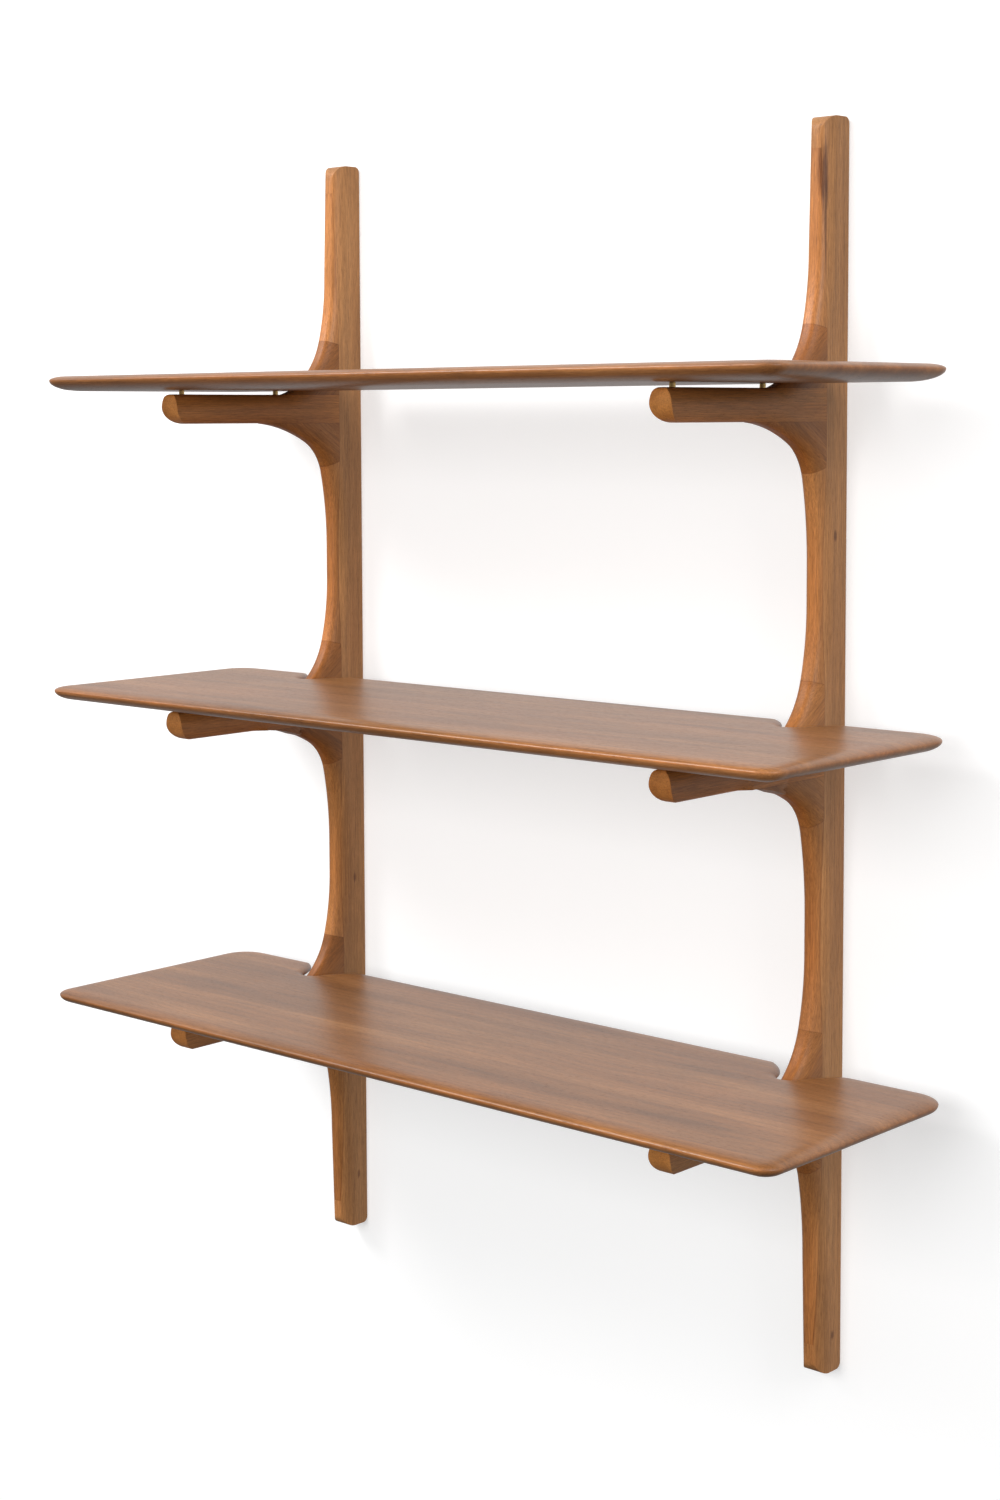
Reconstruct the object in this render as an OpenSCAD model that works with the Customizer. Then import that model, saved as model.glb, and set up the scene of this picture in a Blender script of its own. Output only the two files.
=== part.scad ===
// Wall shelf of solid wood: two uprights with shaped arms, and three boards on brass studs.
// Frame: X runs along the wall, the wall is the plane y = 0, the shelf stands out towards -Y.
// The origin is the centre of the four wall fixings, half-way up the uprights.
// Side profiles are written as [out, z], where out is the distance from the wall.

/* [Boards] */
// Length of each board along the wall
board_l = 1000; // [960:10:1060]
// Depth of each board from front to back
board_d = 300; // [290:5:320]
// Thickness of each board
board_t = 17; // [16:0.5:18]
// Gap between the wall and the back edge of each board
board_gap = 35; // [34:0.5:37]
// Height of a board's top above the centre of the fixings, for the top board
board_top_z = 386.5; // [380:0.5:390]
// Distance from one board's top to the next
board_pitch = 350; // [345:1:360]
// Plan radius of the front corners
corner_front_r = 22; // [18:1:28]
// Plan radius of the back corners
corner_back_r = 35; // [28:1:40]

/* [Board edge] */
// Drop from the top face to the sharpest line of the edge
edge_drop = 5; // [4:0.5:6]
// Width of the rounding above that line
edge_top_w = 20; // [16:1:22]
// Width of the bevel below that line
edge_under_w = 36; // [30:1:38]

/* [Board notches] */
// Distance from the wall to the floor of each notch
notch_floor = 87; // [87:0.5:90]
// Radius of the notch's floor
notch_floor_r = 14; // [14:0.5:16]
// Radius of the notch's flanks
notch_flank_r = 74; // [72:1:78]
// Direction of the flanks where they meet the floor, from the back edge
notch_flank_a = 72; // [71:1:74]
// Radius of the lips at the mouth of the notch
notch_lip_r = 12; // [10:0.5:13]
// Width of the rounding above the notch's edge
notch_top_w = 10; // [8:0.5:11]
// Width of the bevel below the notch's edge
notch_under_w = 24; // [23:0.5:26]

/* [Uprights] */
// Height of each upright
upright_h = 1260; // [1240:1:1270]
// Width of each upright
upright_w = 26; // [25:0.5:31]
// Depth of each upright between the flares
upright_d = 41.5; // [41:0.25:43.5]
// Distance between the centre lines of the two uprights
upright_span = 678; // [660:2:700]
// Distance from the wall to the glue plane behind the front pieces
glue_out = 36.5; // [35.5:0.25:38]
// Loss of depth at the top and bottom end of an upright
end_taper = 3.8; // [3:0.1:4]
// Distance from each end of an upright to where its front strip runs out
strip_end = 32; // [28:1:45]
// Radius of the front corner at each end, in side view
end_front_r = 16; // [14:1:17]
// Radius of the wall corner at each end, in side view
end_wall_r = 6.5; // [5:0.5:8]
// Half width of the narrow flat along the front edge
nose_half = 2.7; // [2:0.1:3.5]
// Depth of the elliptical rounding behind the front edge
round_d = 20; // [18:0.5:21]

/* [Arms] */
// Distance from the wall to the tip of each arm
arm_out = 285; // [278:1:292]
// Drop from a board's top to the top of its arm
arm_drop = 21.5; // [21.5:0.5:22.5]
// Height of an arm
arm_h = 32.5; // [31:0.5:34]
// Radius over the top of the tip
tip_top_r = 4; // [3:0.5:5]
// Depth of the undercut at the tip
tip_under_d = 22; // [18:1:26]
// Height of the undercut at the tip
tip_under_h = 20; // [16:1:22]

/* [Flares] */
// Radius of the flare above an arm
flare_up_r = 88; // [86:1:90]
// Direction of that flare where it leaves the arm, and at the end of its block
flare_up_a = [12.7, 74.6]; // [10:0.1:80]
// Radius of its tail along the upright
flare_up_tail_r = 273; // [255:1:285]
// Radii of the two arcs of the flare below an arm
flare_low_r = [190, 53]; // [50:1:200]
// Directions where that flare leaves the arm, changes radius, and changes to its tail
flare_low_a = [3, 28, 78]; // [2:1:80]
// Direction of that flare at the end of its block
flare_low_end_a = 70; // [66:1:74]
// Radius of its tail along the upright
flare_low_tail_r = 400; // [380:5:420]

/* [Studs] */
// Diameter of the brass studs where they show
stud_d = 6; // [5.5:0.5:7]
// Diameter of their shanks, which sit in the flat along the arm's top
shank_d = 5; // [4:0.1:5.2]
// Distances from the wall to the two studs of an arm
stud_out = [126, 267]; // [120:1:270]
// Length of a stud inside the arm
stud_depth = 14; // [10:1:18]
// Diameter of the spigot that enters the board
spigot_d = 4; // [3:0.5:4]
// Length of that spigot
spigot_l = 8; // [6:0.5:9]
// Clearance around and above the spigot
spigot_gap = 0.1; // [0.05:0.01:0.1]

/* [Wall hangers] */
// Distance between the upper and the lower hanger holes of an upright
hanger_pitch = 1160; // [1100:5:1170]
// Width of a hanger plate
plate_w = 16; // [16:1:20]
// Height of a hanger plate
plate_h = 50; // [50:1:56]
// Thickness of a hanger plate
plate_t = 2; // [1.5:0.5:3]
// Diameter of the round entry hole
entry_d = 9.5; // [9:0.5:10]
// Width of the slot above it
slot_w = 4.8; // [4:0.2:5]
// Distance from the entry hole to the top of the slot
slot_rise = 12; // [10:1:13]
// Depth of the pocket for the head of the wall screw
pocket_d = 10; // [8:1:14]
// Diameter of the head of a plate screw
screw_head_d = 7; // [6:0.5:7.5]
// Diameter of the shank of a plate screw
screw_shank_d = 3.5; // [3:0.5:4]
// Length of a plate screw
screw_l = 16; // [12:1:20]
// Distance from the end of a plate to its screw
screw_edge = 6; // [5:0.5:8]
// Room round the head of a wall screw in its pocket
pocket_room = 1; // [0.5:0.25:1.5]

/* [Hidden] */
$fn = 48;
LEFT = -1;
RIGHT = 1;
level_z = [board_top_z, board_top_z - board_pitch, board_top_z - 2 * board_pitch];
flat_half = upright_w / 2;
screw_pitch = plate_h - 2 * screw_edge;
arm_top = -arm_drop;
arm_low = -arm_drop - arm_h;
// Heights where the uprights start to taper towards their ends
taper_from = [
    level_z[2] + arm_low - flare_height(flare_low()),
    level_z[0] + arm_top + flare_height(flare_up())
];
pocket_w = entry_d + 2 * pocket_room;
// A cut's overrun past a surface, small where something else begins there
eps = 0.01;
margin = 1;
// Least thickness of the thin edge of a glued piece
tip_thick = 0.5;
smooth_steps = 6;
wood_rail = "#9c6b45";
wood_front = "#b0744a";
wood_flare = "#8c5731";
wood_arm = "#96603a";
wood_board = "#a97a58";
brass = "#c9a14a";
steel = "#b8bcc0";

// ---- Flares: chains of tangent arcs, each arc being [radius, start direction, end direction].
// Flare points are [out, rise], where rise is measured away from the arm's own face.
function flare_up() = [[flare_up_r, flare_up_a[0], flare_up_a[1]], [flare_up_tail_r, flare_up_a[1], 90]];
function flare_low() = [
    [flare_low_r[0], flare_low_a[0], flare_low_a[1]],
    [flare_low_r[1], flare_low_a[1], flare_low_a[2]],
    [flare_low_tail_r, flare_low_a[2], 90]
];
function sum(v, i = 0) = i < len(v) ? v[i] + sum(v, i + 1) : 0;
function arc_run(a) = a[0] * (sin(a[2]) - sin(a[1]));
function arc_rise(a) = a[0] * (cos(a[1]) - cos(a[2]));
function flare_height(f) = sum([for (a = f) arc_rise(a)]);
function flare_tip(f) = upright_d + sum([for (a = f) arc_run(a)]);
function arc_start(f, i) =
    i == 0 ? [flare_tip(f), 0] : arc_start(f, i - 1) + [-arc_run(f[i - 1]), arc_rise(f[i - 1])];
function arc_centre(f, i) = arc_start(f, i) + f[i][0] * [sin(f[i][1]), cos(f[i][1])];
function arc_point(f, i, a) = arc_centre(f, i) - f[i][0] * [sin(a), cos(a)];
function arc_of(f, a, i = 0) = i == len(f) - 1 || a <= f[i][2] ? i : arc_of(f, a, i + 1);
function flare_point(f, a) = arc_point(f, arc_of(f, a), a);
// Direction from which an arc's centre sees a point
function seen_from(c, p) = atan2(c[0] - p[0], c[1] - p[1]);

// Distance into the wood from a flare's free edge, or from the arm's face in front of it
function flare_inset(f, p, i = 0) =
    let (c = arc_centre(f, i), a = seen_from(c, p))
    i == 0 && a < f[0][1] ? -p[1] :
    a <= f[i][2] ? norm(p - c) - f[i][0] :
    i < len(f) - 1 ? flare_inset(f, p, i + 1) :
    upright_d - p[0];

// ---- Half width of the wood at a point of the side profile
function rounded_half(inset, depth) =
    let (u = 1 - min(max(inset, 0), depth) / depth)
    nose_half + (flat_half - nose_half) * sqrt(1 - u * u);
function level_half(p, z0) =
    let (
        low = flare_inset(flare_low(), [p[0], z0 + arm_low - p[1]]),
        up = flare_inset(flare_up(), [p[0], p[1] - z0 - arm_top])
    )
    rounded_half(min(low, up), min(round_d, (low + up) / 2));
function taper_at(z) =
    z > taper_from[1] ? end_taper * (z - taper_from[1]) / (upright_h / 2 - taper_from[1]) :
    z < taper_from[0] ? end_taper * (z - taper_from[0]) / (-upright_h / 2 - taper_from[0]) : 0;
function wood_half(p) =
    taper_at(p[1]) > 0 ? rounded_half(upright_d - taper_at(p[1]) - p[0], round_d) :
    max([for (z0 = level_z) level_half(p, z0)]);

// ---- Lofts
// Even steps from a to b, both included
function steps(a, b, n) = [for (i = [0:n]) a + (b - a) * i / n];
function tail(v) = [for (i = [1:len(v) - 1]) v[i]];
function reversed(v) = [for (i = [len(v) - 1:-1:0]) v[i]];
// Fractions along a rib that crowd towards its start
function crowded(n) = [for (i = [0:n]) pow(i / n, 2)];
// Fractions along a rib that crowd towards both of its ends
function crowded_both(n) = [for (i = [0:n]) (1 - cos(180 * i / n)) / 2];

// A closed skin over rings that have the same number of points. The faces at its two ends are
// given as lists of places along a ring.
module loft(rings, ends) {
    m = len(rings[0]);
    n = len(rings);
    polyhedron(
        points = [for (r = rings) each r],
        faces = [
            each ends,
            for (e = ends) [for (j = reversed(e)) (n - 1) * m + j],
            for (i = [0:n - 2], j = [0:m - 1])
                let (a = i * m + j, b = i * m + (j + 1) % m) each [[a, a + m, b], [b, a + m, b + m]]
        ]
    );
}

// A ring around one rib of the side profile, which runs from point p to point q
function rib_ring(p, q, fractions) =
    let (side = [for (f = fractions) let (s = p + f * (q - p)) [wood_half(s), -s[0], s[1]]])
    concat(side, [for (s = reversed(side)) [-s[0], s[1], s[2]]]);

// End faces of a ring around a rib: one across the wood between each two of its points
function rungs(n) = [for (j = [0:n - 2]) [j, j + 1, 2 * n - 2 - j, 2 * n - 1 - j]];

// A piece of wood spanned by ribs, each rib being [start, end]
module ribbed(ribs, fractions) {
    loft([for (r = ribs) rib_ring(r[0], r[1], fractions)], rungs(len(fractions)));
}

// ---- Ribs of the front pieces, in flare coordinates
function to_profile(p, z0, up) = [p[0], up ? z0 + arm_top + p[1] : z0 + arm_low - p[1]];
// Rib from the free edge at direction a to the glue plane on the upright
function tail_rib(f, a) =
    let (p = flare_point(f, a), d = (p[0] - glue_out) / sin(a))
    [p, [glue_out, p[1] - d * cos(a)]];
// Rib from the free edge at direction a to the glue plane on the arm
function arm_rib(f, a) =
    let (p = flare_point(f, a), d = p[1] / cos(a))
    [p, [p[0] - d * sin(a), 0]];
// Direction of the rib that ends in the corner between the two glue planes, on arc i
function corner_a(f, i) = seen_from(arc_centre(f, i), [glue_out, 0]);
// Direction at which a block's tip is thick enough to be glued
function tip_a(f) = acos(cos(f[0][1]) - tip_thick / f[0][0]);

// ---- Wooden pieces of an upright
module front_piece(ribs, side, z0, up, shade) {
    ordered = up ? ribs : reversed(ribs);
    placed = [for (r = ordered) [to_profile(r[0], z0, up), to_profile(r[1], z0, up)]];
    color(shade) translate([side * upright_span / 2, 0, 0]) ribbed(placed, crowded(smooth_steps));
}

module upper_flare(side, level) {
    f = flare_up();
    c = corner_a(f, 0);
    ribs = concat(
        [for (a = steps(tip_a(f), c, 7)) arm_rib(f, a)],
        [for (a = tail(steps(c, flare_up_a[1], 4))) tail_rib(f, a)]
    );
    front_piece(ribs, side, level_z[level], true, wood_flare);
}

module lower_flare(side, level) {
    f = flare_low();
    c = corner_a(f, 1);
    ribs = concat(
        [for (a = steps(tip_a(f), flare_low_a[1], 5)) arm_rib(f, a)],
        [for (a = tail(steps(flare_low_a[1], c, 4))) arm_rib(f, a)],
        [for (a = tail(steps(c, flare_low_end_a, 3))) tail_rib(f, a)]
    );
    front_piece(ribs, side, level_z[level], false, wood_flare);
}

// Ribs of the tail of a flare along the upright, from its block's end to the plain upright
function up_tail(z0) = [
    for (a = steps(flare_up_a[1], 90, 4))
        let (r = tail_rib(flare_up(), a)) [to_profile(r[0], z0, true), to_profile(r[1], z0, true)]
];
function low_tail(z0) = [
    for (a = concat(steps(flare_low_end_a, flare_low_a[2], 1), tail(steps(flare_low_a[2], 90, 4))))
        let (r = tail_rib(flare_low(), a)) [to_profile(r[0], z0, false), to_profile(r[1], z0, false)]
];
// Where the front strip of an end runs out into the front edge
function run_out_z(sign) = sign * (upright_h / 2 - strip_end);
function front_out(z) = upright_d - taper_at(z);
function run_out_rib(sign) =
    let (z = run_out_z(sign), out = front_out(z))
    [[out, z], [out - tip_thick, z]];

module strip(side, ribs) {
    color(wood_front) translate([side * upright_span / 2, 0, 0]) ribbed(ribs, crowded(smooth_steps));
}

module middle_strip(side, level) {
    strip(side, concat(up_tail(level_z[level + 1]), reversed(low_tail(level_z[level]))));
}

module top_strip(side) {
    strip(side, concat(up_tail(level_z[0]), [run_out_rib(1)]));
}

module bottom_strip(side) {
    strip(side, reversed(concat(low_tail(level_z[2]), [run_out_rib(-1)])));
}

// Heights of the stations along a rail, denser where the front edge is curved
function flare_stations(z0) = concat(
    reversed([for (r = low_tail(z0)) r[1][1]]),
    [z0 + (arm_low + arm_top) / 2],
    [for (r = up_tail(z0)) r[1][1]]
);
end_front = upright_d - end_taper;
end_flat = upright_h / 2 - end_front_r;
function end_stations(sign) = concat(
    [run_out_z(sign), run_out_z(sign) + sign * tip_thick],
    [for (a = [0, 20, 40, 60, 75, 90]) sign * (end_flat + end_front_r * sin(a))]
);
rail_stations = concat(
    reversed(end_stations(-1)),
    flare_stations(level_z[2]),
    flare_stations(level_z[1]),
    flare_stations(level_z[0]),
    end_stations(1)
);
// Distance from the wall to the start of the shaped part of a rail
shaped_out = upright_d - end_taper - round_d - margin;
// Distance from the middle of an upright, towards the end nearest z, to where its taper starts
function taper_start(z) = abs(taper_from[z > 0 ? 1 : 0]);
// Distance from the wall to a rail's front. It slants out to the front edge where the strip runs out.
function rail_front(z) =
    let (
        from = taper_start(z),
        to = run_out_z(1),
        share = (abs(z) - from) / (to - from),
        over = max(abs(z) - end_flat, 0),
        corner = end_front - end_front_r + sqrt(pow(end_front_r, 2) - pow(over, 2))
    )
    share <= 0 ? glue_out :
    share <= 1 ? glue_out + share * (run_out_rib(sign(z))[1][0] - glue_out) :
    over > 0 ? corner : front_out(z);

module rail_back() {
    r = end_wall_r;
    top = upright_h / 2;
    arc = [for (a = steps(0, 90, 5)) [r - r * cos(a), top - r + r * sin(a)]];
    half = concat(arc, [[shaped_out, top]]);
    outline = concat(half, [for (p = reversed(half)) [p[0], -p[1]]]);
    rotate([90, 0, -90]) linear_extrude(upright_w, center = true) polygon(outline);
}

module rail_front_part() {
    fractions = steps(0, 1, smooth_steps);
    loft(
        [for (z = rail_stations) rib_ring([rail_front(z), z], [shaped_out, z], fractions)],
        rungs(len(fractions))
    );
}

// The recess for a hanger plate, the pocket for the wall screw's head and the pilot holes
module hanger_cut() {
    translate([0, eps / 2, slot_rise / 2]) cube([plate_w, 2 * plate_t + eps, plate_h], center = true);
    for (z = [0, slot_rise])
        translate([0, -pocket_d, z]) rotate([-90, 0, 0]) cylinder(d = pocket_w, h = pocket_d + eps);
    translate([-pocket_w / 2, -pocket_d, 0]) cube([pocket_w, pocket_d + eps, slot_rise]);
    for (z = [-1, 1])
        translate([0, -screw_l, slot_rise / 2 + z * screw_pitch / 2])
            rotate([-90, 0, 0]) cylinder(d = screw_shank_d, h = screw_l);
}

module at_hangers(side, ends) {
    for (end = ends)
        translate([side * upright_span / 2, 0, end * hanger_pitch / 2]) children();
}

module rail(side) {
    color(wood_rail) difference() {
        translate([side * upright_span / 2, 0, 0]) union() {
            rail_back();
            rail_front_part();
        }
        at_hangers(side, [-1, 1]) hanger_cut();
    }
}

// ---- Arms
// Vertical ribs of an arm, relative to the board's top, from the tip to the glue plane
function tip_rib(a) =
    let (
        out = arm_out - tip_under_d * (1 - cos(a)),
        over = max(out - arm_out + tip_top_r, 0)
    )
    [
        [out, arm_top - tip_top_r + sqrt(pow(tip_top_r, 2) - pow(over, 2))],
        [out, arm_low + tip_under_h * (1 - sin(a))]
    ];
function shaft_rib(out) = [[out, arm_top], [out, arm_low]];
arm_ribs = concat(
    [for (a = steps(0, 90, 7)) tip_rib(a)],
    [for (out = tail(steps(arm_out - tip_under_d, flare_tip(flare_low()), 2))) shaft_rib(out)],
    [for (out = tail(steps(flare_tip(flare_low()), glue_out, 12))) shaft_rib(out)]
);

module arm(side, level) {
    z0 = level_z[level];
    color(wood_arm) translate([side * upright_span / 2, 0, 0]) difference() {
        ribbed([for (r = arm_ribs) [r[0] + [0, z0], r[1] + [0, z0]]], crowded_both(2 * smooth_steps));
        for (out = stud_out)
            translate([0, -out, z0 + arm_top - stud_depth]) cylinder(d = shank_d, h = stud_depth + margin);
    }
}

// ---- Boards: stacked outlines, each set in by its own amount at the edge and at the notches
function arc_pts(c, r, from, to, n) = [for (a = steps(from, to, n)) c + r * [cos(a), sin(a)]];
// Radii never fall below this, however far an outline is set in
least_r = 3;
function set_in(r, inset) = max(r - inset, least_r);
function corner_pts(inset, r0, out, dir, from) =
    let (r = set_in(r0, inset))
    arc_pts([board_l / 2 - inset - r, out - dir * (inset + r)], r, from, from - 90, smooth_steps);
// Right side of a notch centred on x = 0, from the lip at the back edge to the floor's middle
function notch_side(inset, inset_n) =
    let (
        out = board_gap + inset,
        floor_c = [0, notch_floor - notch_floor_r],
        a = notch_flank_a,
        flank_c = floor_c + (notch_flank_r + notch_floor_r) * [sin(a), cos(a)],
        flank_r = notch_flank_r - inset_n,
        lip_r = set_in(notch_lip_r, inset_n),
        dz = flank_c[1] - out - lip_r,
        dx = sqrt(pow(flank_r - lip_r, 2) - dz * dz),
        lip_c = [flank_c[0] - dx, out + lip_r],
        a0 = atan2(dx, dz)
    )
    concat(
        [for (b = steps(0, a0, 3)) lip_c - lip_r * [sin(b), cos(b)]],
        [for (b = tail(steps(a0, a, 4))) flank_c - flank_r * [sin(b), cos(b)]],
        [for (b = tail(steps(a, 0, 4))) floor_c + (notch_floor_r + inset_n) * [sin(b), cos(b)]]
    );
function mirrored(pts) = [for (p = reversed(pts)) [-p[0], p[1]]];
function notch_pts(inset, inset_n) =
    let (right = notch_side(inset, inset_n))
    concat(right, tail(mirrored(right)));
// Right half of an outline, from a point of the front edge opposite the notch
function half_outline(inset, inset_n) = concat(
    [[upright_span / 2, board_gap + board_d - inset]],
    corner_pts(inset, corner_front_r, board_gap + board_d, 1, 90),
    corner_pts(inset, corner_back_r, board_gap, -1, 0),
    [for (p = notch_pts(inset, inset_n)) p + [upright_span / 2, 0]]
);
function board_ring(inset, inset_n, z) =
    let (half = half_outline(inset, inset_n))
    [for (p = concat(half, mirrored(half))) [p[0], -p[1], z]];
// Share of the notch's bevel that is straight, so that it clears the flare
straight = 0.6;
board_rings = concat(
    [
        for (a = steps(90, 0, 4))
            board_ring(edge_top_w * (1 - cos(a)), notch_top_w * (1 - cos(a)), -edge_drop * (1 - sin(a)))
    ],
    [
        for (a = tail(steps(0, 90, 5)))
            board_ring(
                edge_under_w * (1 - cos(a)),
                notch_under_w * (straight * sin(a) + (1 - straight) * (1 - cos(a))),
                -edge_drop - (board_t - edge_drop) * sin(a)
            )
    ]
);

// Faces of a board: round each notch, and between the notches
half_n = len(half_outline(0, 0));
board_ends = [
    [for (j = [0:half_n - 1]) j],
    [0, half_n - 1, half_n, 2 * half_n - 1],
    concat([2 * half_n - 1], [for (j = [half_n:2 * half_n - 2]) j])
];

module board(level) {
    z0 = level_z[level];
    color(wood_board) difference() {
        translate([0, 0, z0]) loft(board_rings, board_ends);
        at_studs()
            translate([0, 0, z0 - board_t - margin])
                cylinder(d = spigot_d + 2 * spigot_gap, h = spigot_l + spigot_gap + margin);
    }
}

// ---- Studs
module at_studs() {
    for (side = [LEFT, RIGHT], out = stud_out)
        translate([side * upright_span / 2, -out, 0]) children();
}

module studs(level) {
    under = level_z[level] - board_t;
    seat = level_z[level] + arm_top;
    color(brass) at_studs() {
        translate([0, 0, seat - stud_depth]) cylinder(d = shank_d, h = stud_depth + margin);
        translate([0, 0, seat]) cylinder(d = stud_d, h = under - seat);
        translate([0, 0, under - margin]) cylinder(d = spigot_d, h = spigot_l + margin);
    }
}

// ---- Wall hangers
module hanger(side, end) {
    color(steel) at_hangers(side, [end]) difference() {
        translate([0, -plate_t / 2, slot_rise / 2]) cube([plate_w, plate_t, plate_h], center = true);
        translate([0, -plate_t - margin, 0]) {
            rotate([-90, 0, 0]) cylinder(d = entry_d, h = plate_t + 2 * margin);
            translate([-slot_w / 2, 0, 0]) cube([slot_w, plate_t + 2 * margin, slot_rise]);
            translate([0, 0, slot_rise]) rotate([-90, 0, 0]) cylinder(d = slot_w, h = plate_t + 2 * margin);
        }
        at_plate_screws() screw_body();
    }
}

module at_plate_screws() {
    for (z = [-1, 1])
        translate([0, 0, slot_rise / 2 + z * screw_pitch / 2]) children();
}

// A countersunk screw whose head is flush with the wall plane
module screw_body() {
    head_h = (screw_head_d - screw_shank_d) / 2;
    rotate([90, 0, 0]) {
        cylinder(d1 = screw_head_d, d2 = screw_shank_d, h = head_h);
        cylinder(d = screw_shank_d, h = screw_l);
    }
}

module hanger_screws() {
    color(steel)
        for (side = [LEFT, RIGHT])
            at_hangers(side, [-1, 1]) at_plate_screws() screw_body();
}

rail(LEFT);  // rail_left
rail(RIGHT);  // rail_right
top_strip(LEFT);  // strip_top_left
middle_strip(LEFT, 0);  // strip_upper_left
middle_strip(LEFT, 1);  // strip_lower_left
bottom_strip(LEFT);  // strip_bottom_left
top_strip(RIGHT);  // strip_top_right
middle_strip(RIGHT, 0);  // strip_upper_right
middle_strip(RIGHT, 1);  // strip_lower_right
bottom_strip(RIGHT);  // strip_bottom_right
upper_flare(LEFT, 0);  // upper_flare_top_left
upper_flare(LEFT, 1);  // upper_flare_middle_left
upper_flare(LEFT, 2);  // upper_flare_bottom_left
upper_flare(RIGHT, 0);  // upper_flare_top_right
upper_flare(RIGHT, 1);  // upper_flare_middle_right
upper_flare(RIGHT, 2);  // upper_flare_bottom_right
arm(LEFT, 0);  // arm_top_left
arm(LEFT, 1);  // arm_middle_left
arm(LEFT, 2);  // arm_bottom_left
arm(RIGHT, 0);  // arm_top_right
arm(RIGHT, 1);  // arm_middle_right
arm(RIGHT, 2);  // arm_bottom_right
lower_flare(LEFT, 0);  // lower_flare_top_left
lower_flare(LEFT, 1);  // lower_flare_middle_left
lower_flare(LEFT, 2);  // lower_flare_bottom_left
lower_flare(RIGHT, 0);  // lower_flare_top_right
lower_flare(RIGHT, 1);  // lower_flare_middle_right
lower_flare(RIGHT, 2);  // lower_flare_bottom_right
board(0);  // board_top
board(1);  // board_middle
board(2);  // board_bottom
studs(0);  // studs_top
studs(1);  // studs_middle
studs(2);  // studs_bottom
hanger(LEFT, 1);  // hanger_top_left
hanger(LEFT, -1);  // hanger_bottom_left
hanger(RIGHT, 1);  // hanger_top_right
hanger(RIGHT, -1);  // hanger_bottom_right
hanger_screws();
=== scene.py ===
import math
import random

import bmesh
import bpy
from mathutils import Matrix, Vector


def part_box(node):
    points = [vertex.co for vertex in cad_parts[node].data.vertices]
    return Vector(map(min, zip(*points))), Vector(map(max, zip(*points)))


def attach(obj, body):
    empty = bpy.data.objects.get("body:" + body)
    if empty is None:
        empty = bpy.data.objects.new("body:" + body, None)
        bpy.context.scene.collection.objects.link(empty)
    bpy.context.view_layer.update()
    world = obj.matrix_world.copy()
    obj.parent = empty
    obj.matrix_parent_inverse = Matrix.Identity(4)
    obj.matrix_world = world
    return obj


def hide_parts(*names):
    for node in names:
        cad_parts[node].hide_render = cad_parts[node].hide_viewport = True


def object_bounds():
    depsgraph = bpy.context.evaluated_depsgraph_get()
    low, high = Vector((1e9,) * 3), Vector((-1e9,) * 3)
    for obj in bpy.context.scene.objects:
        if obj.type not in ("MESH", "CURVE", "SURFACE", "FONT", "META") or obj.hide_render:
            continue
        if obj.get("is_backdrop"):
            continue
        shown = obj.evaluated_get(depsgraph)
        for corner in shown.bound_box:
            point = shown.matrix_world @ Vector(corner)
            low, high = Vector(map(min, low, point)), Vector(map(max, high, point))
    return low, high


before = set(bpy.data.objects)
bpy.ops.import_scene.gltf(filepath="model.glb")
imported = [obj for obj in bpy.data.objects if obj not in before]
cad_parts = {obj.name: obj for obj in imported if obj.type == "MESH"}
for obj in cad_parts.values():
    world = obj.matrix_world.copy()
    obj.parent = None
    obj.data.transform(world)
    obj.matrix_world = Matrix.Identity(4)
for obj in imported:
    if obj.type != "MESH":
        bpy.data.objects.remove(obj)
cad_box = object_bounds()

# Lengths are in metres. X runs along the wall, the wall is the plane y = 0, and the shelf stands out
# towards -Y. Side profiles are (out, z), where out is the distance from the wall.

LEVELS = ("top", "middle", "bottom")
SIDES = {"left": -1, "right": 1}
MM = 0.001

# ---- Sizes read from the frame
board_lo, board_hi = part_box("board_top")
rail_lo, rail_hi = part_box("rail_right")
arm_lo, arm_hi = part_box("arm_top_right")
BOARD_L = board_hi.x - board_lo.x
BOARD_D = board_hi.y - board_lo.y
BOARD_T = board_hi.z - board_lo.z
BOARD_GAP = -board_hi.y
LEVEL_Z = [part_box("board_" + level)[1].z for level in LEVELS]
UPRIGHT_H = rail_hi.z - rail_lo.z
UPRIGHT_W = rail_hi.x - rail_lo.x
UPRIGHT_X = (rail_hi.x + rail_lo.x) / 2
ARM_OUT = -arm_lo.y
ARM_TOP = arm_hi.z - LEVEL_Z[0]
ARM_LOW = arm_lo.z - LEVEL_Z[0]

# ---- Shape of the wood
CORNER_FRONT_R, CORNER_BACK_R = 22 * MM, 35 * MM
EDGE_DROP, EDGE_TOP_W, EDGE_UNDER_W = 5 * MM, 20 * MM, 36 * MM
NOTCH_FLOOR, NOTCH_FLOOR_R = 87 * MM, 14 * MM
NOTCH_FLANK_R, NOTCH_FLANK_A, NOTCH_LIP_R = 74 * MM, math.radians(72), 12 * MM
NOTCH_TOP_W, NOTCH_UNDER_W, NOTCH_STRAIGHT = 10 * MM, 24 * MM, 0.6
LEAST_R = 3 * MM
UPRIGHT_D = 41.5 * MM
STRIP_END = 32 * MM
GLUE_OUT = 36.5 * MM
END_TAPER, END_FRONT_R, END_WALL_R = 3.8 * MM, 16 * MM, 6.5 * MM
NOSE_HALF, ROUND_D = 2.7 * MM, 20 * MM
TIP_TOP_R, TIP_UNDER_D, TIP_UNDER_H = 4 * MM, 22 * MM, 20 * MM
TIP_THICK = 0.5 * MM
FLAT_HALF = UPRIGHT_W / 2


def turned(*degrees):
    return [math.radians(d) for d in degrees]


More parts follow.
